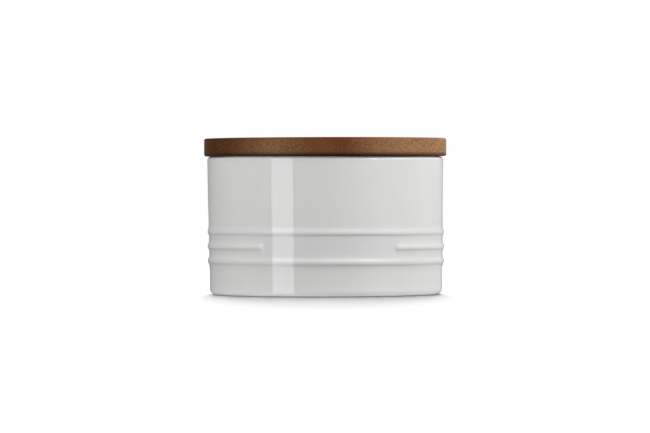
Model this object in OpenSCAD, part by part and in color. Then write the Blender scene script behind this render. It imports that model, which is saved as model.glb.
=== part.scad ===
// Round stoneware bread bin with a turned wooden lid and a silicone seal.
// Millimetres, +Z up. The origin is the centre of the foot, on the surface the bin stands on.
// The front is -Y. The staves of the lid run front to back.

/* [Crock] */
// Height of the crock, from the foot to the flat land of the rim
crock_h = 171; // [120:1:240]
// Radius of the outer wall at the rim
rim_wall_r = 146.2; // [110:0.1:190]
// How much further out the wall stands at the rim than at the foot
wall_flare = 2.6; // [0:0.1:12]
// Thickness of the wall
wall_t = 8; // [7.5:0.5:12]
// Thickness of the floor over the recess of the foot
floor_t = 8; // [5:0.5:14]
// Radius of the corner where the wall turns under to the foot
corner_round = 7.4; // [4:0.1:12]
// Radius of the rim's outer edge
rim_round = 5; // [2:0.5:5]
// Radius of the rim's inner edge
lip_round = 1.2; // [0.5:0.1:1.8]
// Radius inside, where the wall meets the floor
floor_round = 14; // [4:1:24]
// Angle by which the crock stands turned under its lid
crock_turn = 1.85; // [-180:0.05:180]

/* [Foot ring] */
// Width of the flat ring that the crock stands on
foot_ring_w = 8; // [4:0.5:20]
// Depth of the recess inside the foot ring
foot_recess = 2; // [1:0.5:4]

/* [Ribs] */
// Number of ribs round the wall
rib_n = 3; // [2:1:3]
// How far a rib stands out from the wall
rib_h = 1.8; // [0.8:0.1:2]
// Height of one rib, and the distance from one rib to the next
rib_pitch = 18; // [12:0.5:24]
// Height of the lowest rib's crest above the foot
low_rib_z = 41; // [30:1:60]
// How narrow the crest of a rib is against its foot
rib_sharpness = 1.5; // [1:0.1:2]
// The rib, counted from the lowest, that is left open across the front
open_rib = 2; // [1:1:2]
// Angle round the crock between the two ends of the open rib
open_rib_angle = 68.6; // [20:0.1:120]

/* [Lid board] */
// How far the board reaches past the wall of the crock
lid_overhang = 3.8; // [1:0.1:20]
// Thickness of the board
board_t = 22; // [16:0.5:30]
// Radius of the board's top edge
top_edge_round = 2.2; // [1:0.1:4]
// Radius of the board's bottom edge
bottom_edge_round = 2.8; // [1:0.1:4]
// Gap between the board and the rim that it rests on
seat_gap = 0.05; // [0.02:0.01:0.3]
// Number of staves glued edge to edge
stave_n = 5; // [3:1:9]

/* [Plug and seal] */
// Gap between the plug and the mouth of the crock
plug_gap = 2; // [1.5:0.1:2.5]
// Radius of the plug's bottom edge
plug_round = 1.5; // [0.5:0.1:2]
// Height of the groove that holds the seal
groove_h = 4.4; // [4:0.1:5]
// Depth of that groove
groove_depth = 3; // [2:0.1:4]
// Depth of the plug over the groove
plug_over = 3; // [1:0.1:8]
// Depth of the plug under the groove
plug_under = 3.6; // [2.5:0.1:12]
// Gap left round the seal, in its groove and in the mouth
seal_gap = 0.2; // [0.15:0.05:0.3]

/* [Hidden] */
// Height of the floor inside
floor_z = foot_recess + floor_t;
// Heights of the board's underside and upper face
board_z = crock_h + seat_gap;
lid_top_z = board_z + board_t;
// Top and bottom of the seal's groove
groove_top_z = board_z - plug_over;
groove_z = groove_top_z - groove_h;
// Height of the plug's underside
plug_z = groove_z - plug_under;
// Radius of the board
lid_r = rim_wall_r + lid_overhang;
// Width of one stave
stave_w = 2 * lid_r / stave_n;
// Height above the plain wall at which the open rib is cleared away
skin = 0.1;
// Reach of a cutting block past the face it cuts
past = 1;
// Steps in a quarter circle, in a rib, and round a turned piece
quarter_steps = 8;
rib_steps = 16;
$fn = 180;

STAVES = [for (i = [1:stave_n]) str("stave_", i)];

// Points of an arc about [x, z] with radius r, from angle a to angle b
function arc(x, z, r, a, b) =
    [for (i = [0:quarter_steps]) let (t = a + (b - a) * i / quarter_steps) [x + r * cos(t), z + r * sin(t)]];

// Radius of the plain outer wall at height z
function wall_r(z) = rim_wall_r - wall_flare * (1 - z / crock_h);

// Radius of the inside at height z
function inside_r(z) = wall_r(z) - wall_t;

// Height of the crest of a rib
function rib_z(rib) = low_rib_z + (rib - 1) * rib_pitch;

// How far a rib stands out at the height dz above or below its crest
function rib_rise(dz) = rib_h * pow((1 + cos(360 * dz / rib_pitch)) / 2, rib_sharpness);

// Points of one rib, from its foot to the foot of the next
function rib_points(rib) =
    [for (i = [1:rib_steps])
        let (dz = rib_pitch * (i / rib_steps - 1 / 2))
        let (z = rib_z(rib) + dz)
        [wall_r(z) + rib_rise(dz), z]];

// Outline of the crock's wall and floor, as radius and height
function crock_outline() =
    let (
        foot_r = wall_r(corner_round) - corner_round,
        ring_r = foot_r - foot_ring_w,
        ribs_z = rib_z(1) - rib_pitch / 2,
        rim_z = crock_h - rim_round,
        lip_r = inside_r(crock_h) + lip_round,
        floor_r = inside_r(floor_z + floor_round) - floor_round
    )
    concat(
        [[0, foot_recess]],
        arc(ring_r, foot_recess, foot_recess, 180, 270),
        arc(foot_r, corner_round, corner_round, -90, 0),
        [[wall_r(ribs_z), ribs_z]],
        [for (rib = [1:rib_n]) each rib_points(rib)],
        arc(wall_r(rim_z) - rim_round, rim_z, rim_round, 0, 90),
        arc(lip_r, crock_h - lip_round, lip_round, 90, 180),
        arc(floor_r, floor_z + floor_round, floor_round, 0, -90),
        [[0, floor_z]]
    );

// The space in front of the open rib, bounded by the rib's two round ends
module open_rib_space() {
    z = rib_z(open_rib);
    end_r = rib_pitch / 2;
    end_angle = open_rib_angle / 2 + asin(end_r / wall_r(z));
    out_r = wall_r(z) + rib_h + past;
    difference() {
        rotate([0, 0, -90 - end_angle])
            rotate_extrude(angle = 2 * end_angle)
                polygon([
                    [wall_r(z - end_r) + skin, z - end_r],
                    [out_r, z - end_r],
                    [out_r, z + end_r],
                    [wall_r(z + end_r) + skin, z + end_r]
                ]);
        for (side = [-1, 1])
            rotate([0, 0, -90 + side * end_angle])
                translate([wall_r(z) - wall_t / 2, 0, z])
                    rotate([0, 90, 0])
                        cylinder(h = wall_t, r = end_r);
    }
}

// Wall, floor, rim, ribs and foot ring, in one piece of clay
module crock() {
    color("gainsboro")
        rotate([0, 0, crock_turn])
            difference() {
                rotate_extrude() polygon(crock_outline());
                open_rib_space();
            }
}

// Radius of the plug, which clears the mouth of the crock, and of the floor of its groove
plug_r = inside_r(plug_z) - plug_gap;
groove_r = plug_r - groove_depth;

// Outline of the whole lid, as radius and height
function lid_outline() =
    concat(
        [[0, plug_z]],
        arc(plug_r - plug_round, plug_z + plug_round, plug_round, -90, 0),
        [[plug_r, groove_z], [groove_r, groove_z], [groove_r, groove_top_z], [plug_r, groove_top_z]],
        [[plug_r, board_z]],
        arc(lid_r - bottom_edge_round, board_z + bottom_edge_round, bottom_edge_round, -90, 0),
        arc(lid_r - top_edge_round, lid_top_z - top_edge_round, top_edge_round, 0, 90),
        [[0, lid_top_z]]
    );

// One stave of the lid, counted from the left: its slice of the board and of the plug
module stave(i) {
    color(i % 2 == 0 ? "saddlebrown" : "sienna")
        intersection() {
            rotate_extrude() polygon(lid_outline());
            translate([(i - 1) * stave_w - lid_r, -lid_r - past, plug_z - past])
                cube([stave_w, 2 * (lid_r + past), lid_top_z - plug_z + 2 * past]);
        }
}

// Silicone ring: a band that fills the plug's groove, with a round nose that meets the mouth
module seal() {
    band_r = groove_r + seal_gap;
    band_h = groove_h - 2 * seal_gap;
    nose_r = band_h / 2;
    tip_r = inside_r(groove_z) - seal_gap;
    color("whitesmoke")
        translate([0, 0, groove_z + seal_gap])
            rotate_extrude()
                polygon(concat(
                    [[band_r, band_h], [band_r, 0]],
                    arc(tip_r - nose_r, nose_r, nose_r, -90, 90)
                ));
}

crock();
for (i = [1:stave_n]) {
    stave(i);
}
seal();
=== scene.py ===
# Bread bin: a glazed stoneware crock, a turned lid of five glued staves, and a silicone seal.
# Metres, +Z up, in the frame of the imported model. Angles round the bin are taken from its front,
# which is -Y, and grow towards +X.
import math

import bmesh
import bpy
from mathutils import Euler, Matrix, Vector, noise


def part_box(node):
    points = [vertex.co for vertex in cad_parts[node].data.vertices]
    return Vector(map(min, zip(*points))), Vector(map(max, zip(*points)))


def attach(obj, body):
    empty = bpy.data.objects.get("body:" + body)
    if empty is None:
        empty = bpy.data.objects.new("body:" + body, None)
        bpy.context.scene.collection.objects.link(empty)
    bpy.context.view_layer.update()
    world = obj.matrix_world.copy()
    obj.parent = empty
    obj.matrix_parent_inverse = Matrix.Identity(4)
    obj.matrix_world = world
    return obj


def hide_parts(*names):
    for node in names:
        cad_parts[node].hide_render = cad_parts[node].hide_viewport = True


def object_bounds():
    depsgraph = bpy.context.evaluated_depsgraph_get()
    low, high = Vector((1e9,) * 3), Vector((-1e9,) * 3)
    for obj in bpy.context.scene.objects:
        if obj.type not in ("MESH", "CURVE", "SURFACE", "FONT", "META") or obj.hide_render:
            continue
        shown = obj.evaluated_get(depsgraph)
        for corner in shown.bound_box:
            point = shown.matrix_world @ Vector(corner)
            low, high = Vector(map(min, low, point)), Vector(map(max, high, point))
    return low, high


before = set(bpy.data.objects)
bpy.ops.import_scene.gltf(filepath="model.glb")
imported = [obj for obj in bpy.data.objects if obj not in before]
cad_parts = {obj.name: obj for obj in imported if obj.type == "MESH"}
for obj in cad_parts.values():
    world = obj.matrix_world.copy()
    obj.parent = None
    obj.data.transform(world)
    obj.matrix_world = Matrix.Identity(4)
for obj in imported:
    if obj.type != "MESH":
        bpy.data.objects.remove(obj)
cad_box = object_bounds()
scene = bpy.context.scene
MM = 0.001
WHITE = (1, 1, 1, 1)

# ---- Sizes of the crock ----
crock_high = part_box("crock")[1]
stave_low, stave_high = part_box("stave_1")
seal_low, seal_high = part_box("seal")
LID_R = -cad_box[0].y
LID_OVERHANG = 3.8 * MM
RIM_WALL_R = LID_R - LID_OVERHANG
CROCK_H = crock_high.z
WALL_FLARE = 2.6 * MM
WALL_T = 8 * MM
FLOOR_Z = 10 * MM
CORNER_ROUND = 7.4 * MM
RIM_ROUND = 5 * MM
LIP_ROUND = 1.2 * MM
FLOOR_ROUND = 14 * MM
FOOT_RING_W = 8 * MM
FOOT_RECESS = 2 * MM
CROCK_TURN = math.radians(1.85)

# Ribs, from the lowest up: height of the crest, how far it stands out, and how far above and below the
# crest its flanks are halfway in
RIBS = [
    (41.6 * MM, 1.98 * MM, 3.6 * MM, 3.5 * MM),
    (59.4 * MM, 1.83 * MM, 3.6 * MM, 3.0 * MM),
    (77.1 * MM, 1.5 * MM, 4.2 * MM, 2.4 * MM),
]
# How much higher the ribs run on the left than in front
RIB_TILT = 0.45 * MM
# How sharply the upper and the lower flank turn, and how far from the crest they start to fade and are gone
UPPER_TURN, LOWER_TURN = 3.1, 3.3
FLANK_FADE, FLANK_END = 6 * MM, 12 * MM
OPEN_RIB = 1
OPEN_RIB_ANGLE = math.radians(68.6)
# Noses at the ends of the open rib: length of the slope below the crest and at the top of the upper flank,
# and the share of it that lies past the end's nominal place
NOSE_LEFT = (8 * MM, 8.5 * MM, 0.37)
NOSE_RIGHT = (6.5 * MM, 13 * MM, 0.4)
# How square the noses are below and above, and how far from the crest the one has turned into the other
NOSE_SQUARE_LOW, NOSE_SQUARE_HIGH = 4.0, 2.3
NOSE_TURN = 2 * MM

# The glaze stops at a rolled edge this far round the corner of the foot
GLAZE_EDGE_ANGLE = -68
GLAZE_T = 0.22 * MM
# Bare clay: how high it reaches, and how far past the foot ring inside and outside
BARE_H = 0.5 * MM
BARE_INSIDE, BARE_OUTSIDE = 0.8 * MM, 2.6 * MM
# Ripples of the glaze over the clay, which fade out towards the foot and the rim
RIPPLE_H = 0.03 * MM
RIPPLE_LENGTH = 40 * MM
RIPPLE_START, RIPPLE_FULL = 2 * MM, 9 * MM
RIPPLE_FADE = 4 * MM
# Shares of a rib's height over which its glaze is thinner, and under which it is deeper and painted darker as
# shade in the hollows between the ribs; and how far down from the rim it is thinner too
THIN_GLAZE = (0.7, 1.0)
DEEP_GLAZE_SHADE = (0.0, 0.3)
THIN_RIM = 3 * MM
# The rim is not quite level: how far it lies under the lid, how much deeper it dips, the dip's angle round
# the bin and its breadth, and how far down the wall follows
RIM_DROP, RIM_DIP = 0.1 * MM, 1.1 * MM
RIM_DIP_ANGLE, RIM_DIP_BREADTH = math.radians(28), math.radians(48)
RIM_DROP_REACH = 60 * MM
# The lower wall stands a little to one side of the rim, and comes back between these heights
LEAN = 0.5 * MM
LEAN_LOW, LEAN_HIGH = 60 * MM, 130 * MM
# Swell of the wall just above the foot: the heights between which it starts, and between which it ends
SWELL_H = 0.25 * MM
SWELL_START, SWELL_FULL = 2 * MM, 7 * MM
SWELL_LOW, SWELL_HIGH = 9 * MM, 17 * MM
# How near a point is to the plain outer wall to be raised with the ribs, and to have its glaze thinned on
# the crests and deepened with painted shade between them
ON_WALL, NEAR_WALL = 0.1 * MM, 1 * MM
# Spacing of the crock's rows near the foot, over the ribs, above them, inside and underneath, and the radius
# of the innermost row
FOOT_ROW, RIB_ROW, WALL_ROW, INSIDE_ROW, UNDER_ROW = 1.5 * MM, 0.55 * MM, 2.5 * MM, 5 * MM, 10 * MM
CROCK_MIDDLE = 8 * MM
# Degrees from column to column, at large and near the noses. They are near within a reach of a place that
# lies a little past each end of the open rib
COLUMN_STEP, NOSE_STEP = 1.5, 0.25
NOSE_PAST, NOSE_REACH = 0.9, 4

# ---- Sizes of the lid ----
LID_TOP = stave_high.z
BOARD_T = 22 * MM
BOARD_Z = LID_TOP - BOARD_T
PLUG_Z = stave_low.z
STAVE_W = stave_high.x - stave_low.x
TOP_EDGE_ROUND = 2.2 * MM
BOTTOM_EDGE_ROUND = 2.8 * MM
PLUG_GAP = 2 * MM
PLUG_ROUND = 1.5 * MM
SEAL_GAP = 0.2 * MM
GROOVE_Z = seal_low.z - SEAL_GAP
GROOVE_TOP = seal_high.z + SEAL_GAP
GROOVE_DEPTH = 3 * MM
# Spacing of the lid's rows on the plug's underside, the board's underside, its side and its upper face, and
# the radius of the innermost row
PLUG_ROW, BOARD_ROW, SIDE_ROW, TOP_ROW = 20 * MM, 3 * MM, 2 * MM, 12 * MM
LID_MIDDLE = 10 * MM
# How far round each lip of the seal turns before it meets the other, in degrees
LIP_TURN = 75
# Bands at the board's top and bottom edges in which the stain's tone changes, the bottom one a painted shade
# under the board's edge and round the rim of its underside: between which distances from the upper face or
# the underside, and between which distances in from the side
TOP_BAND, TOP_BAND_IN = (2.6 * MM, 0.6 * MM), (4 * MM, 1 * MM)
LOW_SHADE_BAND, LOW_SHADE_BAND_IN = (1 * MM, 5.2 * MM), (14 * MM, 8 * MM)

# ---- Finishes: colours as shares of light ----
GLAZE_DULL, GLAZE_BRIGHT = (0.672, 0.672, 0.664, 1), (0.684, 0.684, 0.678, 1)
# The pooled colour is deeper glaze, painted darker as the shade in the hollows between the ribs
GLAZE_THIN, GLAZE_POOLED_SHADE = (0.70, 0.685, 0.655, 1), (0.64, 0.645, 0.64, 1)
CLAY_DARK, CLAY_PALE, CLAY_GRIT = (0.52, 0.46, 0.37, 1), (0.60, 0.54, 0.44, 1), (0.34, 0.28, 0.21, 1)
SILICONE_DULL, SILICONE_PALE = (0.68, 0.68, 0.66, 1), (0.72, 0.72, 0.70, 1)
# Roughness, from the smoothest spots to the roughest
GLAZE_ROUGH, WOOD_ROUGH, SILICONE_ROUGH = (0.02, 0.04), (0.42, 0.6), (0.48, 0.62)
# Relief of the glaze's orange peel, the clay's grit, the wood's pores and the silicone's skin
PEEL_H, GRIT_H, PORE_H, SKIN_H = 0.001 * MM, 0.08 * MM, 0.08 * MM, 0.02 * MM
PEEL_SCALE = 420.0
# Tone of the stain at places across the lid
STAIN = [
    (-135 * MM, (0.056, 0.017, 0.003)),
    (-110 * MM, (0.085, 0.031, 0.009)),
    (-65 * MM, (0.177, 0.079, 0.031)),
    (-10 * MM, (0.124, 0.044, 0.015)),
    (25 * MM, (0.113, 0.039, 0.014)),
    (65 * MM, (0.224, 0.107, 0.050)),
    (125 * MM, (0.238, 0.122, 0.051)),
]
# Factors on that tone: in pale and deep wood, in open pores, along the board's top edge, and along its bottom
# edge, where it is a painted shade
PALE_WOOD, DEEP_WOOD = (1.36, 1.40, 1.44), (0.64, 0.60, 0.56)
PORE_TONE = (0.25, 0.22, 0.2)
TOP_EDGE_TONE, LOW_EDGE_SHADE_TONE = (0.92, 0.70, 0.52), (0.34, 0.30, 0.27)
# How much the grain and the clouds change the tone
GRAIN_SHARE, CLOUD_SHARE = 0.95, 0.3
# Scales of the timber's noise: for the rings their bend and their strength, for the grain its fibres and its
# flame, for the pores their cells and their drifts, and the clouds
BEND_SCALE, STRENGTH_SCALE = 16.0, 40.0
FIBRE_SCALE, FLAME_SCALE = 900.0, 460.0
CELL_SCALE, DRIFT_SCALE = 330.0, 40.0
CLOUD_SCALE = 30.0
# How far the rings bend, and how fine the rays are round the heart, out from it and along the board
RING_BEND = 16 * MM
RAY_ROUND, RAY_OUT, RAY_ALONG = 190.0, 220.0, 160.0
# Each stave's figure: place of its heart, ring width, and shares of rings and of pale flecks; then a shift of
# its grain and its share of open pores
STAVE_WOODS = [
    ((-0.16, 0.30), 4.6 * MM, 0.45, 0.3, 0.3, 0.3),
    ((-0.02, 0.36), 5.2 * MM, 0.2, 0.3, 1.7, 1.0),
    ((0.07, 0.30), 4.2 * MM, 0.25, 0.3, 2.9, 0.3),
    ((0.09, 0.42), 5.6 * MM, 0.2, 0.45, 4.1, 0.5),
    ((0.22, 0.34), 4.9 * MM, 0.35, 0.6, 5.3, 0.2),
]

# ---- Light ----
# Fill of the room from above and from the rest, and between which heights of a direction the one turns into
# the other
FILL_HIGH, FILL_LOW = 0.25, 0.3
FILL_TURN = (0.45, 0.65)
# Lamps on the bin: name, radiance, width, height, azimuth, elevation, distance, roll, and whether it shows
# in reflections
STRIP_LAMP = ("strip_light", 3.31, 1.19, 5.0, -43.97, 21.3, 3.0, 8, False)
LAMPS = [
    ("key_light", 7.23, 1.6, 1.6, 80, 20, 2.6, 0, False),
    ("left_light", 1.94, 1.6, 1.6, -58, 16, 2.6, 0, False),
    ("glint_light", 4.5, 0.8, 0.52, 52, 45, 1.7, 0, True),
    ("back_light", 2.01, 1.6, 1.2, 180, 35, 2.4, 0, False),
    ("rear_light", 8.0, 0.6, 1.6, 180, 12, 2.6, 0, False),
]
# Images of lamps in the glaze. The strip's: the angles round the bin between which it lies, the slopes of the
# surface that mirror it, its radiance on the lower and the higher slopes and the slopes between which that
# changes, and how far its card stands from the wall
STRIP_IMAGE = (-26.75, -15.75)
STRIP_SLOPES = range(-32, 33)
STRIP_IMAGE_LOW, STRIP_IMAGE_HIGH = 3.95, 4.9
STRIP_IMAGE_TURN = (7, 9)
STRIP_IMAGE_AWAY = 1.8
# The shoulder's: two angles and a radiance each, their slopes, how far under the rim they lie, and how far
# their cards stand from it
SHOULDER_IMAGES = [(20.5, 46, 14.0), (46, 75, 3.6)]
SHOULDER_SLOPES = (19, 25, 31)
SHOULDER_UNDER = 4 * MM
SHOULDER_AWAY = 0.25
# Grey cards behind the bin, for reflections: azimuth and radiance along each card, and their radius and edges
CARD_LEFT = [(-180, 0.3), (-150, 0.28), (-120, 0.16), (-90, 0.49), (-64, 0.63)]
CARD_RIGHT = [(180, 0.2), (150, 0.46), (120, 0.1), (90, 0.11), (64, 0.8), (50, 1.3)]
CARD_R = 2.0
CARD_LOW, CARD_HIGH = -2.0, 2.5

# ---- Floor ----
FLOOR_R = 6.0
# What the camera sees of it: its own glow, its paint, and the distances between which both give way to plain
# white
FLOOR_GLOW = 0.05
FLOOR_PAINT = 0.3
FLOOR_FADE = (1.5, 4.0)
# What each floor light adds to make it white, by its elevation from the back over the top to the front, and
# the breadth of such a light in degrees
FLOOR_LIGHTS = [(12, 0.26), (30, 0.15), (46, 0.12), (62, 0.13), (80, 0.21), (110, 0.21)]
FLOOR_LIGHT_BREADTH = 24
FLOOR_LIGHT_AWAY = 3.0
# What it gives to the bin: a bounce near and far, and the distances between which the one turns into the
# other; and more in a ring just outside the foot, whose inner and outer edge rise between two distances each
BOUNCE_NEAR, BOUNCE_FAR = 0.2, 0.34
BOUNCE_TURN = (0.15, 0.6)
FOOT_BOUNCE = 0.62
FOOT_BOUNCE_IN, FOOT_BOUNCE_OUT = (140 * MM, 142.2 * MM), (155 * MM, 148 * MM)

# ---- Camera: lens and sensor in millimetres, tilt and roll in degrees, and how far it sees ----
LENS, SENSOR = 221.68, 36
CAMERA_PLACE = (-0.45 * MM, -4.96, 128.7 * MM)
CAMERA_TILT, CAMERA_ROLL = -0.3726, -0.135
SIGHT = 50


# ---- Shaping ----
def arc(r, z, radius, start, end, steps=8):
    """Points of an arc about (r, z), from one angle to another in degrees."""
    points = []
    for step in range(steps + 1):
        angle = math.radians(start + (end - start) * step / steps)
        points.append((r + radius * math.cos(angle), z + radius * math.sin(angle)))
    return points


def spaced(start, end, step):
    """Evenly spaced values from start up to, and without, end."""
    count = max(1, round((end - start) / step))
    return [start + (end - start) * i / count for i in range(count)]


def eased(value, low, high):
    """0 up to low, 1 from high on, and a smooth rise between."""
    share = min(max((value - low) / (high - low), 0), 1)
    return share * share * (3 - 2 * share)


def round_point(r, z, angle):
    """The point at radius r and height z, at an angle from the front."""
    return Vector((r * math.sin(angle), -r * math.cos(angle), z))


def wall_r(z):
    """Radius of the plain outer wall."""
    return RIM_WALL_R - WALL_FLARE * (1 - z / CROCK_H)


def inside_r(z):
    """Radius of the inside."""
    return wall_r(z) - WALL_T


def turned(outline, angles, place=round_point):
    """Turns an outline that starts and ends on the axis into a closed bmesh."""
    shape = bmesh.new()
    rings = []
    for r, z in outline:
        if r == 0:
            rings.append([shape.verts.new((0, 0, z))] * len(angles))
        else:
            rings.append([shape.verts.new(place(r, z, angle)) for angle in angles])
    for lower, upper in zip(rings, rings[1:]):
        for i in range(len(angles)):
            corners = [lower[i - 1], lower[i], upper[i], upper[i - 1]]
            shape.faces.new(dict.fromkeys(corners))
    return shape


def finished(shape, name, materials, sharp_angle=35):
    """Makes an object of a bmesh, smooth but for its sharp edges."""
    for face in shape.faces:
        face.smooth = True
    for edge in shape.edges:
        if len(edge.link_faces) == 2:
            edge.smooth = edge.calc_face_angle(0) < math.radians(sharp_angle)
    mesh = bpy.data.meshes.new(name)
    shape.to_mesh(mesh)
    shape.free()
    for material in materials:
        mesh.materials.append(material)
    piece = bpy.data.objects.new(name, mesh)
    scene.collection.objects.link(piece)
    return piece


# ---- Shader nodes ----
def feed(tree, made, inputs):
    """Gives each input of a node a value, or links it from another node's socket."""
    for key, value in inputs.items():
        if isinstance(value, bpy.types.NodeSocket):
            tree.links.new(value, made.inputs[key])
        else:
            made.inputs[key].default_value = value


def node(tree, kind, inputs=None, **settings):
    """Adds a node with its settings and inputs."""
    made = tree.nodes.new("ShaderNode" + kind)
    for setting, value in settings.items():
        setattr(made, setting, value)
    feed(tree, made, inputs or {})
    return made


def maths(tree, operation, *values, clamp=False):
    """The result of a Math node."""
    return node(tree, "Math", dict(enumerate(values)), operation=operation, use_clamp=clamp).outputs[0]


def scaled(tree, vector, factors):
    """A vector with each part multiplied by its factor."""
    return node(tree, "VectorMath", {0: vector, 1: factors}, operation="MULTIPLY").outputs[0]


def shifted(tree, vector, offset):
    """A vector with an offset added."""
    return node(tree, "VectorMath", {0: vector, 1: offset}, operation="ADD").outputs[0]


def speckle(tree, vector, scale, detail=2.0, roughness=0.5):
    """A Noise Texture's value, which varies about 0.5."""
    inputs = {"Vector": vector, "Scale": scale, "Detail": detail, "Roughness": roughness}
    return node(tree, "TexNoise", inputs).outputs[0]


def spread(tree, value, low, high, to_low=0.0, to_high=1.0):
    """A value mapped from one range to another and held there."""
    inputs = {0: value, 1: low, 2: high, 3: to_low, 4: to_high}
    return node(tree, "MapRange", inputs, clamp=True).outputs[0]


def mixed(tree, factor, first, second):
    """A mix of two colours."""
    return node(tree, "Mix", {0: factor, 6: first, 7: second}, data_type="RGBA").outputs[2]


def balanced(tree, factor, first, second):
    """A mix of two values."""
    return node(tree, "Mix", {0: factor, 2: first, 3: second}, data_type="FLOAT").outputs[0]


def new_group(name, inputs, outputs):
    """A shader node group with named inputs and outputs, and the nodes at its two ends."""
    group = bpy.data.node_groups.new(name, "ShaderNodeTree")
    kinds = {"vector": "NodeSocketVector", "value": "NodeSocketFloat", "colour": "NodeSocketColor"}
    for socket, kind in inputs.items():
        group.interface.new_socket(socket, in_out="INPUT", socket_type=kinds[kind])
    for socket, kind in outputs.items():
        group.interface.new_socket(socket, in_out="OUTPUT", socket_type=kinds[kind])
    entry = group.nodes.new("NodeGroupInput")
    result = group.nodes.new("NodeGroupOutput")
    return group, entry.outputs, result.inputs


def placed_group(tree, group, inputs):
    """The outputs of a node group that is placed in a material with its own values."""
    made = tree.nodes.new("ShaderNodeGroup")
    made.node_tree = group
    feed(tree, made, inputs)
    return made.outputs


def cleared(data):
    """The node tree of a material or the world, switched on and emptied."""
    data.use_nodes = True
    data.node_tree.nodes.clear()
    return data.node_tree


def surface(tree, shader, kind="OutputMaterial"):
    """Links a shader to the output of a material or the world."""
    out = tree.nodes.new("ShaderNode" + kind)
    tree.links.new(shader.outputs[0], out.inputs["Surface"])


def new_material(name, **values):
    """A material with a Principled BSDF whose uniform values are set on its own sockets."""
    material = bpy.data.materials.new(name)
    tree = cleared(material)
    shader = node(tree, "BsdfPrincipled")
    for key, value in values.items():
        shader.inputs[key.replace("_", " ")].default_value = value
    surface(tree, shader)
    place = node(tree, "TexCoord").outputs["Object"]
    return material, tree, shader, place


def attribute(tree, name):
    """The value of a mesh attribute."""
    return node(tree, "Attribute", attribute_name=name, attribute_type="GEOMETRY").outputs["Fac"]


def bumped(tree, shader, height, distance):
    """Feeds a height, in shares of the distance, to the shader's normal."""
    bump = node(tree, "Bump", {"Strength": 1.0, "Distance": distance, "Height": height})
    tree.links.new(bump.outputs[0], shader.inputs["Normal"])


# ---- Finishes ----
def mottle_group():
    """Fine, even variation of a fired or moulded surface: soft clouds, and small specks."""
    group, given, result = new_group(
        "mottle",
        {"Vector": "vector", "Cloud Size": "value", "Speck Size": "value"},
        {"Clouds": "value", "Specks": "value"},
    )
    for name, size, detail in (("Clouds", "Cloud Size", 2.0), ("Specks", "Speck Size", 1.0)):
        scale = maths(group, "DIVIDE", 1.0, given[size])
        value = speckle(group, given["Vector"], scale, detail)
        group.links.new(spread(group, value, 0.3, 0.7), result[name])
    return group


def glaze_material(mottle):
    """White gloss glaze: thinner over the crests and edges, where the clay warms it, and a little
    deeper in the hollows between the ribs, where its colour is painted darker as shade."""
    material, tree, shader, place = new_material("glaze", Roughness=0.03, IOR=1.5)
    marks = placed_group(tree, mottle, {"Vector": place, "Cloud Size": 30 * MM, "Speck Size": 1.6 * MM})
    depth_and_shade = attribute(tree, "glaze_depth_and_shade")
    thin = spread(tree, depth_and_shade, 0.5, 0.0)
    # The deeper glaze between the ribs, painted darker as shade
    pooled_shade = spread(tree, depth_and_shade, 0.5, 1.0)
    body = mixed(tree, marks["Clouds"], GLAZE_DULL, GLAZE_BRIGHT)
    warmed = mixed(tree, maths(tree, "MULTIPLY", thin, 0.5), body, GLAZE_THIN)
    colour = mixed(tree, maths(tree, "MULTIPLY", pooled_shade, 0.5), warmed, GLAZE_POOLED_SHADE)
    tree.links.new(colour, shader.inputs["Base Color"])
    rough = spread(tree, marks["Clouds"], 0.0, 1.0, *GLAZE_ROUGH)
    tree.links.new(rough, shader.inputs["Roughness"])
    bumped(tree, shader, speckle(tree, place, PEEL_SCALE, 1.0), PEEL_H)
    return material


def clay_material(mottle):
    """Bare fired clay of the foot ring, with soft clouds and dark grit."""
    material, tree, shader, place = new_material("bare_clay", Roughness=0.85, Specular_IOR_Level=0.3)
    marks = placed_group(tree, mottle, {"Vector": place, "Cloud Size": 12 * MM, "Speck Size": 0.7 * MM})
    body = mixed(tree, marks["Clouds"], CLAY_DARK, CLAY_PALE)
    gritty = mixed(tree, spread(tree, marks["Specks"], 0.75, 1.0), body, CLAY_GRIT)
    tree.links.new(gritty, shader.inputs["Base Color"])
    bumped(tree, shader, marks["Specks"], GRIT_H)
    return material


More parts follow.
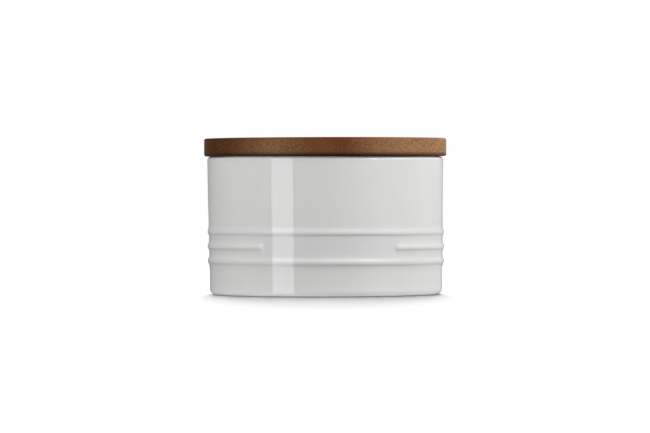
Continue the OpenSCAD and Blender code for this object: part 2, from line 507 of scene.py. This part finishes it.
def timber_group():
    """Figure of timber whose fibres run along Y, so that they are specks on end grain and streaks on a
    face. The growth rings stand about a heart line, and the rays cross them."""
    group, given, result = new_group(
        "timber",
        {"Vector": "vector", "Heart X": "value", "Heart Z": "value", "Ring Width": "value",
         "Shift": "value", "Pore Share": "value"},
        {"Rings": "value", "Grain": "value", "Rays": "value", "Pores": "value", "Clouds": "value"},
    )
    offset = node(group, "CombineXYZ", {0: given["Shift"], 1: given["Shift"], 2: given["Shift"]})
    place = shifted(group, given["Vector"], offset.outputs[0])

    # Growth rings, bent a little from end to end of the board
    along = scaled(group, place, (1, 0.35, 1))
    bend = node(group, "TexNoise", {"Vector": along, "Scale": BEND_SCALE, "Detail": 2.0})
    bend = shifted(group, bend.outputs["Color"], (-0.5, -0.5, -0.5))
    bent = shifted(group, given["Vector"], scaled(group, bend, (RING_BEND, 0, RING_BEND)))
    parts = node(group, "SeparateXYZ", {0: bent}).outputs
    across = maths(group, "SUBTRACT", parts["X"], given["Heart X"])
    up = maths(group, "SUBTRACT", parts["Z"], given["Heart Z"])
    squares = maths(group, "ADD", maths(group, "MULTIPLY", across, across), maths(group, "MULTIPLY", up, up))
    away = maths(group, "SQRT", squares)
    phase = maths(group, "FRACT", maths(group, "DIVIDE", away, given["Ring Width"]))
    late = maths(group, "POWER", phase, 2.0)
    early = spread(group, phase, 0.0, 0.2, 1.0, 0.0)
    rings = maths(group, "MAXIMUM", late, early)
    strength = speckle(group, scaled(group, place, (1, 0.12, 1)), STRENGTH_SCALE, 1.0)
    rings = maths(group, "MULTIPLY", rings, spread(group, strength, 0.32, 0.68, 0.15, 1.0))
    group.links.new(rings, result["Rings"])

    # Fibres, and the coarser flame of the grain
    fibres = speckle(group, scaled(group, place, (1, 0.03, 1)), FIBRE_SCALE, 2.0, 0.6)
    flame = speckle(group, scaled(group, place, (1, 0.045, 1)), FLAME_SCALE, 1.0, 0.6)
    grain = maths(group, "ADD", maths(group, "MULTIPLY", fibres, 0.35), maths(group, "MULTIPLY", flame, 0.65))
    group.links.new(spread(group, grain, 0.32, 0.68), result["Grain"])

    # Rays: fine pale lines out from the heart, short along the board
    turn = maths(group, "ARCTAN2", across, up)
    lines = node(group, "CombineXYZ", {
        0: maths(group, "MULTIPLY", turn, RAY_ROUND),
        1: maths(group, "MULTIPLY", away, RAY_OUT),
        2: maths(group, "MULTIPLY", parts["Y"], RAY_ALONG),
    })
    rays = speckle(group, lines.outputs[0], 1.0, 2.0, 0.6)
    group.links.new(spread(group, rays, 0.52, 0.75), result["Rays"])

    # Pores: open vessels, in drifts
    cells = node(group, "TexVoronoi", {"Vector": scaled(group, place, (1, 0.06, 1)), "Scale": CELL_SCALE})
    hole = spread(group, cells.outputs["Distance"], 0.16, 0.3, 1.0, 0.0)
    drift = speckle(group, scaled(group, place, (1, 0.3, 1)), DRIFT_SCALE, 1.0)
    few = maths(group, "SUBTRACT", 0.75, maths(group, "MULTIPLY", given["Pore Share"], 0.4))
    there = maths(group, "MULTIPLY", maths(group, "SUBTRACT", drift, few), 12.0, clamp=True)
    group.links.new(maths(group, "MULTIPLY", hole, there), result["Pores"])

    # Clouds: slow, soft changes of tone
    clouds = speckle(group, scaled(group, place, (1, 0.3, 1)), CLOUD_SCALE, 3.0, 0.55)
    group.links.new(spread(group, clouds, 0.28, 0.72), result["Clouds"])
    return group


def stain_group():
    """Tone of the stained wood across the lid, which runs softly from each stave into the next."""
    group, given, result = new_group("stain", {"Vector": "vector"}, {"Colour": "colour"})
    across = node(group, "SeparateXYZ", {0: given["Vector"]}).outputs["X"]
    ramp = node(group, "ValToRGB", {0: spread(group, across, -LID_R, LID_R)})
    stops = ramp.color_ramp.elements
    for number, (x, colour) in enumerate(STAIN):
        place = (x + LID_R) / (2 * LID_R)
        stop = stops[number] if number < len(stops) else stops.new(place)
        stop.position = place
        stop.color = (*colour, 1)
    group.links.new(ramp.outputs[0], result["Colour"])
    return group


def wood_material(timber, stain, number, heart, ring_width, ring_share, fleck_share, shift, pore_share):
    """Oiled, stained hardwood. The stain is deeper in the late wood and in the pores. The tone is warmer and
    darker along the top edge, and a painted shade darkens the bottom edge and the rim of the underside.
    """
    material, tree, shader, place = new_material(f"wood_{number}", Roughness=0.5, Specular_IOR_Level=0.1)
    inputs = {"Vector": place, "Heart X": heart[0], "Heart Z": heart[1], "Ring Width": ring_width}
    inputs.update({"Shift": shift, "Pore Share": pore_share})
    figure = placed_group(tree, timber, inputs)
    colour = placed_group(tree, stain, {"Vector": place})["Colour"]
    level = 0.5 - GRAIN_SHARE / 2 - ring_share / 2 - CLOUD_SHARE / 2
    tone = maths(tree, "MULTIPLY_ADD", figure["Grain"], GRAIN_SHARE, level)
    tone = maths(tree, "MULTIPLY_ADD", figure["Rings"], ring_share, tone)
    tone = maths(tree, "MULTIPLY_ADD", figure["Clouds"], CLOUD_SHARE, tone, clamp=True)
    pale = scaled(tree, colour, PALE_WOOD)
    body = mixed(tree, tone, pale, scaled(tree, colour, DEEP_WOOD))
    flecked = mixed(tree, maths(tree, "MULTIPLY", figure["Rays"], fleck_share), body, pale)
    pores = maths(tree, "MULTIPLY", figure["Pores"], 0.8)
    pored = mixed(tree, pores, flecked, scaled(tree, colour, PORE_TONE))
    edged = mixed(tree, attribute(tree, "top_edge"), pored, scaled(tree, colour, TOP_EDGE_TONE))
    # Painted shade along the bottom edge and the rim of the underside
    edged = mixed(tree, attribute(tree, "low_edge_shade"), edged, scaled(tree, colour, LOW_EDGE_SHADE_TONE))
    tree.links.new(edged, shader.inputs["Base Color"])
    tree.links.new(spread(tree, tone, 0.0, 1.0, *WOOD_ROUGH), shader.inputs["Roughness"])
    relief = maths(tree, "SUBTRACT", maths(tree, "MULTIPLY", figure["Grain"], 0.3), figure["Pores"])
    bumped(tree, shader, relief, PORE_H)
    return material


def silicone_material(mottle):
    """Soft milky silicone with a moulded, slightly dusty skin."""
    material, tree, shader, place = new_material("silicone", Roughness=0.55, IOR=1.41)
    marks = placed_group(tree, mottle, {"Vector": place, "Cloud Size": 15 * MM, "Speck Size": 0.9 * MM})
    body = mixed(tree, marks["Clouds"], SILICONE_DULL, SILICONE_PALE)
    tree.links.new(body, shader.inputs["Base Color"])
    rough = spread(tree, marks["Clouds"], 0.0, 1.0, *SILICONE_ROUGH)
    tree.links.new(rough, shader.inputs["Roughness"])
    bumped(tree, shader, marks["Specks"], SKIN_H)
    return material


# ---- The crock ----
def nose_rise(z, angle, crest_z):
    """Share of its height that the open rib has near its ends: blunt below, and longer and rounder above."""
    low_length, high_length, nominal = NOSE_LEFT if angle < 0 else NOSE_RIGHT
    length = low_length + (high_length - low_length) * eased(z, crest_z, crest_z + FLANK_END / 2)
    above = eased(z, crest_z - NOSE_TURN, crest_z + NOSE_TURN)
    square = NOSE_SQUARE_LOW + (NOSE_SQUARE_HIGH - NOSE_SQUARE_LOW) * above
    past = nominal + (OPEN_RIB_ANGLE / 2 - abs(angle)) * wall_r(z) / length
    away = abs(z - crest_z) / FLANK_END
    along = (away**square + max(past, 0) ** square) ** (1 / square)
    if along >= 1:
        return 0
    return math.cos(math.pi / 2 * along) ** 3 / math.cos(math.pi / 2 * away) ** 3


def rib_rise(z, angle):
    """How far the ribs stand out from the wall."""
    rise = 0
    for number, (front_z, height, above, below) in enumerate(RIBS):
        crest_z = front_z - RIB_TILT * math.sin(angle)
        away = abs(z - crest_z)
        reach, turn = (above, UPPER_TURN) if z > crest_z else (below, LOWER_TURN)
        share = (1 - eased(away, FLANK_FADE, FLANK_END)) / (1 + (away / reach) ** turn)
        if number == OPEN_RIB and share > 0:
            share *= nose_rise(z, angle, crest_z)
        rise += height * share
    return rise


def crock_outline():
    """Outline of the crock, from the middle of its underside, round the foot, up the wall, over the rim
    and down to the middle of its floor inside."""
    foot_r = wall_r(CORNER_ROUND) - CORNER_ROUND
    ring_r = foot_r - FOOT_RING_W
    rim_z = CROCK_H - RIM_ROUND
    ribs_low = RIBS[0][0] - FLANK_END
    ribs_high = RIBS[-1][0] + FLANK_END
    floor_edge = FLOOR_Z + FLOOR_ROUND
    floor_r = inside_r(floor_edge) - FLOOR_ROUND
    clay_round = CORNER_ROUND - GLAZE_T
    heights = spaced(CORNER_ROUND, ribs_low, FOOT_ROW)[1:] + spaced(ribs_low, ribs_high, RIB_ROW)
    heights += spaced(ribs_high, rim_z, WALL_ROW)
    return (
        [(r, FOOT_RECESS) for r in [0] + spaced(CROCK_MIDDLE, ring_r, UNDER_ROW)]
        + arc(ring_r, FOOT_RECESS, FOOT_RECESS, 180, 270)
        + arc(foot_r, clay_round, clay_round, -90, GLAZE_EDGE_ANGLE, 4)
        + arc(foot_r, CORNER_ROUND, CORNER_ROUND, GLAZE_EDGE_ANGLE, 0, 12)
        + [(wall_r(z), z) for z in heights]
        + arc(wall_r(rim_z) - RIM_ROUND, rim_z, RIM_ROUND, 0, 90, 14)
        + arc(inside_r(CROCK_H) + LIP_ROUND, CROCK_H - LIP_ROUND, LIP_ROUND, 90, 180)
        + [(inside_r(z), z) for z in reversed(spaced(floor_edge, CROCK_H - LIP_ROUND, INSIDE_ROW)[1:])]
        + arc(floor_r, floor_edge, FLOOR_ROUND, 0, -90, 10)
        + [(r, FLOOR_Z) for r in reversed(spaced(CROCK_MIDDLE, floor_r, INSIDE_ROW))]
        + [(0, FLOOR_Z)]
    )


def crock_angles():
    """Angles of the crock's columns, close together at the noses of the open rib."""
    nose = math.degrees(OPEN_RIB_ANGLE / 2) + NOSE_PAST
    degrees, angle = [], -180.0
    while angle < 180 - 1e-6:
        degrees.append(angle)
        near = abs(abs(angle) - nose) < NOSE_REACH
        angle += NOSE_STEP if near else COLUMN_STEP
    return [math.radians(angle) + CROCK_TURN for angle in degrees]


def crock_point(r, z, angle):
    """A point of the crock: its outline with the ribs, the swell over the foot, the ripples of the glaze,
    and the lean and the dip of a fired pot."""
    ribbed = r > wall_r(z) - ON_WALL and CORNER_ROUND <= z <= CROCK_H - RIM_ROUND
    outside = r > inside_r(z) + WALL_T / 2
    if ribbed:
        r += rib_rise(z, angle - CROCK_TURN)
    if outside and z > SWELL_START:
        r += SWELL_H * (1 - eased(z, SWELL_LOW, SWELL_HIGH)) * eased(z, SWELL_START, SWELL_FULL)
        ripple = noise.noise(round_point(r, z, angle) / RIPPLE_LENGTH)
        fade = 1 - eased(z, CROCK_H - RIPPLE_FADE, CROCK_H)
        r += RIPPLE_H * ripple * eased(z, RIPPLE_START, RIPPLE_FULL) * fade
    from_dip = math.remainder(angle - RIM_DIP_ANGLE, 2 * math.pi) / RIM_DIP_BREADTH
    drop = RIM_DROP + RIM_DIP * math.exp(-from_dip**2)
    lean = LEAN * (1 - eased(z, LEAN_LOW, LEAN_HIGH)) if outside else 0
    z -= drop * eased(z, CROCK_H - RIM_DROP_REACH, CROCK_H)
    return round_point(r, z, angle) + Vector((lean, 0, 0))


def glaze_level_and_shade(x, y, z):
    """How deep the glaze lies at a point: 0 is thin, 0.5 is even and 1 is deepest. The deepest glaze,
    between the ribs, is painted darker as shade.
    """
    level = 0.5
    if math.hypot(x, y) > wall_r(z) - NEAR_WALL and z < CROCK_H - RIM_ROUND:
        share = rib_rise(z, math.atan2(x, -y) - CROCK_TURN) / RIBS[OPEN_RIB][1]
        level -= 0.5 * eased(share, *THIN_GLAZE)
        # Between the ribs the glaze is deeper, and painted darker there as shade
        if RIBS[0][0] - FLANK_END < z < RIBS[-1][0] + FLANK_END:
            level += 0.5 * (1 - eased(share, *DEEP_GLAZE_SHADE))
    if z > CROCK_H - THIN_RIM:
        level -= 0.5 * eased(z, CROCK_H - THIN_RIM, CROCK_H)
    return level


def make_crock(glaze, clay):
    """The crock, bare of glaze on the ring that it stands on."""
    shape = turned(crock_outline(), crock_angles(), crock_point)
    # How deep the glaze lies; its deepest part, between the ribs, is painted shade
    depth_and_shade = shape.verts.layers.float.new("glaze_depth_and_shade")
    for vert in shape.verts:
        vert[depth_and_shade] = glaze_level_and_shade(*vert.co)
    foot_r = wall_r(CORNER_ROUND) - CORNER_ROUND
    for face in shape.faces:
        middle = face.calc_center_median()
        r = math.hypot(middle.x, middle.y)
        on_ring = foot_r - FOOT_RING_W - BARE_INSIDE < r < foot_r + BARE_OUTSIDE
        face.material_index = 1 if middle.z < BARE_H and on_ring else 0
    return finished(shape, "crock_body", [glaze, clay])


# ---- The lid ----
def lid_outline():
    """Outline of the whole lid, from the middle of the plug's underside to the middle of its top."""
    plug_r = inside_r(PLUG_Z) - PLUG_GAP
    groove_r = plug_r - GROOVE_DEPTH
    return (
        [(r, PLUG_Z) for r in [0] + spaced(LID_MIDDLE, plug_r - PLUG_ROUND, PLUG_ROW)]
        + arc(plug_r - PLUG_ROUND, PLUG_Z + PLUG_ROUND, PLUG_ROUND, -90, 0, 6)
        + [(plug_r, GROOVE_Z), (groove_r, GROOVE_Z), (groove_r, GROOVE_TOP), (plug_r, GROOVE_TOP)]
        + [(plug_r, BOARD_Z)]
        + [(r, BOARD_Z) for r in spaced(plug_r, LID_R - BOTTOM_EDGE_ROUND, BOARD_ROW)[1:]]
        + arc(LID_R - BOTTOM_EDGE_ROUND, BOARD_Z + BOTTOM_EDGE_ROUND, BOTTOM_EDGE_ROUND, -90, 0, 10)
        + [(LID_R, z) for z in spaced(BOARD_Z + BOTTOM_EDGE_ROUND, LID_TOP - TOP_EDGE_ROUND, SIDE_ROW)[1:]]
        + arc(LID_R - TOP_EDGE_ROUND, LID_TOP - TOP_EDGE_ROUND, TOP_EDGE_ROUND, 0, 90, 10)
        + [(r, LID_TOP) for r in reversed(spaced(LID_MIDDLE, LID_R - TOP_EDGE_ROUND, TOP_ROW))]
        + [(0, LID_TOP)]
    )


def cut_off(shape, x, side):
    """Cuts away what lies past x on one side, and closes the cut."""
    geometry = shape.verts[:] + shape.edges[:] + shape.faces[:]
    bmesh.ops.bisect_plane(shape, geom=geometry, plane_co=(x, 0, 0), plane_no=(side, 0, 0),
                           clear_outer=True, dist=1e-7)
    rim = [edge for edge in shape.edges if edge.is_boundary]
    made = bmesh.ops.holes_fill(shape, edges=rim, sides=0)["faces"]
    bmesh.ops.triangulate(shape, faces=made)


def make_stave(number, material):
    """One stave: its slice of the turned lid, board and plug together."""
    angles = [math.radians(step) for step in range(-180, 180)]
    shape = turned(lid_outline(), angles)
    left = (number - 1) * STAVE_W - LID_R
    if left > -LID_R + MM:
        cut_off(shape, left, -1)
    if left + STAVE_W < LID_R - MM:
        cut_off(shape, left + STAVE_W, 1)
    top_edge = shape.verts.layers.float.new("top_edge")
    low_edge_shade = shape.verts.layers.float.new("low_edge_shade")
    for vert in shape.verts:
        z = vert.co.z
        r = math.hypot(vert.co.x, vert.co.y)
        above = eased(z, LID_TOP - TOP_BAND[0], LID_TOP - TOP_BAND[1])
        vert[top_edge] = above * eased(r, LID_R - TOP_BAND_IN[0], LID_R - TOP_BAND_IN[1])
        # Painted shade along the bottom edge and the outer rim of the underside
        below = 1 - eased(z, BOARD_Z + LOW_SHADE_BAND[0], BOARD_Z + LOW_SHADE_BAND[1])
        vert[low_edge_shade] = below * eased(r, LID_R - LOW_SHADE_BAND_IN[0], LID_R - LOW_SHADE_BAND_IN[1])
    return finished(shape, f"lid_stave_{number}", [material])


def make_seal(material):
    """The seal: a band in the plug's groove with two soft lips that meet the mouth."""
    plug_r = inside_r(PLUG_Z) - PLUG_GAP
    band_r = plug_r - GROOVE_DEPTH + SEAL_GAP
    low, high = seal_low.z, seal_high.z
    lip = (high - low) / 4
    tip_r = seal_high.x
    outline = [(band_r, low)]
    outline += arc(tip_r - lip, low + lip, lip, -90, LIP_TURN)
    outline += arc(tip_r - lip, high - lip, lip, -LIP_TURN, 90)
    outline += [(band_r, high)]
    angles = [math.radians(2 * step) for step in range(-90, 90)]
    shape = bmesh.new()
    rings = [[shape.verts.new(round_point(r, z, angle)) for angle in angles] for r, z in outline]
    for lower, upper in zip(rings, rings[1:] + rings[:1]):
        for i in range(len(angles)):
            shape.faces.new([lower[i - 1], lower[i], upper[i], upper[i - 1]])
    return finished(shape, "seal_ring", [material])


# ---- Floor, light and camera ----
def aimed(obj, azimuth, elevation, distance, target, roll=0):
    """Puts an object round the target, at an azimuth from the front, and turns its face to it."""
    a, e = math.radians(azimuth), math.radians(elevation)
    away = Vector((math.sin(a) * math.cos(e), -math.cos(a) * math.cos(e), math.sin(e)))
    obj.location = target + away * distance
    turn = Euler((0, 0, math.radians(roll))).to_quaternion()
    obj.rotation_euler = (away.to_track_quat("Z", "Y") @ turn).to_euler()


def lit_alone(name, obj, state):
    """A collection by which a lamp lights one object alone, or all but that object."""
    lit = bpy.data.collections.new(name)
    lit.objects.link(obj)
    lit.collection_objects[0].light_linking.link_state = state
    return lit


def softbox(name, radiance, width, height, azimuth, elevation, distance, roll, shows, lit):
    """A rectangular lamp that the camera doesn't see."""
    lamp = bpy.data.lights.new(name, "AREA")
    lamp.shape = "RECTANGLE"
    lamp.size = width
    lamp.size_y = height
    lamp.energy = radiance * width * height * math.pi
    obj = bpy.data.objects.new(name, lamp)
    scene.collection.objects.link(obj)
    aimed(obj, azimuth, elevation, distance, Vector((0, 0, CROCK_H / 2)), roll)
    obj.visible_camera = False
    obj.visible_glossy = shows
    obj.light_linking.receiver_collection = lit


def floor_light(elevation, share, lit):
    """One of the far, broad lamps that together make the floor white and cast the bin's soft shadow."""
    lamp = bpy.data.lights.new("floor_light", "SUN")
    lamp.angle = math.radians(FLOOR_LIGHT_BREADTH)
    lamp.energy = share * math.pi / FLOOR_PAINT / math.sin(math.radians(elevation))
    obj = bpy.data.objects.new("floor_light", lamp)
    scene.collection.objects.link(obj)
    aimed(obj, 180, elevation, FLOOR_LIGHT_AWAY, Vector((0, 0, 0)))
    obj.light_linking.receiver_collection = lit


def mirror_card(name, columns):
    """A card that only reflections see. Each column is a list of points with one radiance, and the radiance
    changes evenly from each column to the next."""
    card = bmesh.new()
    level = card.verts.layers.float.new("radiance")
    made = []
    for points, radiance in columns:
        made.append([card.verts.new(point) for point in points])
        for vert in made[-1]:
            vert[level] = radiance
    for left, right in zip(made, made[1:]):
        card.faces.new([left[0], right[0], right[1], left[1]])
    material = bpy.data.materials.new(name)
    tree = cleared(material)
    surface(tree, node(tree, "Emission", {"Color": WHITE, "Strength": attribute(tree, "radiance")}))
    obj = finished(card, name, [material])
    for ray in ("camera", "diffuse", "transmission", "volume_scatter", "shadow"):
        setattr(obj, "visible_" + ray, False)


def grey_card(name, stops):
    """A curved card round the bin, plumb from its low to its high edge."""
    columns = []
    for azimuth, radiance in stops:
        points = [round_point(CARD_R, z, math.radians(azimuth)) for z in (CARD_LOW, CARD_HIGH)]
        columns.append((points, radiance))
    mirror_card(name, columns)


def image_card(name, left, right, levels, height, away):
    """A lamp as reflections see it, bent so that the edges of its image on the bin stay plumb. The image lies
    about one height and between two angles round the bin, where the surface has the slopes that are given
    with its radiance."""
    columns = []
    toward_camera = Vector((0, -1, 0))
    for slope, radiance in levels:
        points = []
        for edge in (left, right):
            angle, tilt = math.radians(edge), math.radians(slope)
            facing = round_point(math.cos(tilt), math.sin(tilt), angle)
            mirrored = 2 * facing.dot(toward_camera) * facing - toward_camera
            points.append(round_point(wall_r(0), height, angle) + mirrored * away)
        columns.append((points, radiance))
    mirror_card(name, columns)


def make_strip_image():
    """The strip lamp's image, from the foot to the shoulder, and brighter where the surface faces up."""
    levels = []
    for slope in STRIP_SLOPES:
        share = eased(slope, *STRIP_IMAGE_TURN)
        levels.append((slope, STRIP_IMAGE_LOW * (1 - share) + STRIP_IMAGE_HIGH * share))
    image_card("strip_image", *STRIP_IMAGE, levels, CROCK_H / 2, STRIP_IMAGE_AWAY)


def make_shoulder_images():
    """Bright lines on the shoulder at the right. Their cards are so near that the ribs don't mirror them."""
    for left, right, radiance in SHOULDER_IMAGES:
        levels = [(slope, radiance) for slope in SHOULDER_SLOPES]
        image_card("shoulder_image", left, right, levels, CROCK_H - SHOULDER_UNDER, SHOULDER_AWAY)


def is_shown(tree):
    """1 for what the camera sees, also in a mirror or through a clear thing, and 0 for all other light."""
    seen = node(tree, "LightPath").outputs
    shown = maths(tree, "MAXIMUM", seen["Is Camera Ray"], seen["Is Glossy Ray"])
    return maths(tree, "MAXIMUM", shown, seen["Is Transmission Ray"])


def make_floor():
    """A wide pale floor. The camera sees it white except in the bin's shadow. To the bin it gives a bounce,
    strongest just outside the foot."""
    shape = bmesh.new()
    bmesh.ops.create_circle(shape, cap_ends=True, segments=128, radius=FLOOR_R)
    material = bpy.data.materials.new("floor")
    tree = cleared(material)
    shown = is_shown(tree)
    place = node(tree, "TexCoord").outputs["Object"]
    away = node(tree, "VectorMath", {0: place}, operation="LENGTH").outputs["Value"]
    white = spread(tree, away, *FLOOR_FADE)
    painted = maths(tree, "MULTIPLY", shown, maths(tree, "SUBTRACT", 1.0, white))
    colour = mixed(tree, painted, (0, 0, 0, 1), (FLOOR_PAINT, FLOOR_PAINT, FLOOR_PAINT, 1))
    paint = node(tree, "BsdfDiffuse", {"Color": colour})
    glow = balanced(tree, white, FLOOR_GLOW, 1.0)
    ring = maths(tree, "MULTIPLY", spread(tree, away, *FOOT_BOUNCE_IN), spread(tree, away, *FOOT_BOUNCE_OUT))
    near = maths(tree, "MULTIPLY", ring, FOOT_BOUNCE)
    bounce = maths(tree, "ADD", near, spread(tree, away, *BOUNCE_TURN, BOUNCE_NEAR, BOUNCE_FAR))
    light = node(tree, "Emission", {"Color": WHITE, "Strength": balanced(tree, shown, bounce, glow)})
    surface(tree, node(tree, "AddShader", {0: paint.outputs[0], 1: light.outputs[0]}))
    floor = finished(shape, "floor", [material])
    floor.visible_glossy = False
    return floor


def make_world():
    """A white room to the camera and to reflections. All else gets a soft fill, a little weaker from
    above."""
    world = bpy.data.worlds.new("room")
    scene.world = world
    tree = cleared(world)
    direction = node(tree, "TexCoord").outputs["Generated"]
    upward = node(tree, "SeparateXYZ", {0: direction}).outputs["Z"]
    fill = balanced(tree, spread(tree, upward, *FILL_TURN), FILL_LOW, FILL_HIGH)
    strength = balanced(tree, is_shown(tree), fill, 1.0)
    surface(tree, node(tree, "Background", {"Color": WHITE, "Strength": strength}), "OutputWorld")


def make_camera():
    """A long lens in front of the bin, near the height of its shoulder and rolled a little."""
    camera = bpy.data.cameras.new("camera")
    camera.sensor_width = SENSOR
    camera.lens = LENS
    camera.clip_end = SIGHT
    obj = bpy.data.objects.new("camera", camera)
    scene.collection.objects.link(obj)
    obj.location = CAMERA_PLACE
    tilt = Euler((math.radians(90 + CAMERA_TILT), 0, 0)).to_matrix()
    roll = Euler((0, 0, math.radians(CAMERA_ROLL))).to_matrix()
    obj.rotation_euler = (tilt @ roll).to_euler()
    scene.camera = obj


# ---- Making ----
scene.view_settings.view_transform = "Standard"
make_camera()

mottle = mottle_group()
timber = timber_group()
stain = stain_group()
glaze = glaze_material(mottle)
clay = clay_material(mottle)
silicone = silicone_material(mottle)

crock = make_crock(glaze, clay)
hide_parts("crock")
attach(crock, "crock")

for number, wood_kind in enumerate(STAVE_WOODS, 1):
    stave = make_stave(number, wood_material(timber, stain, number, *wood_kind))
    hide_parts(f"stave_{number}")
    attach(stave, "lid")

seal = make_seal(silicone)
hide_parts("seal")
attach(seal, "lid")

floor = make_floor()
on_bin = lit_alone("on_bin", floor, "EXCLUDE")
on_floor = lit_alone("on_floor", floor, "INCLUDE")
make_world()
softbox(*STRIP_LAMP, on_bin)
make_strip_image()
make_shoulder_images()
for lamp in LAMPS:
    softbox(*lamp, on_bin)
for elevation, share in FLOOR_LIGHTS:
    floor_light(elevation, share, on_floor)
grey_card("card_left", CARD_LEFT)
grey_card("card_right", CARD_RIGHT)
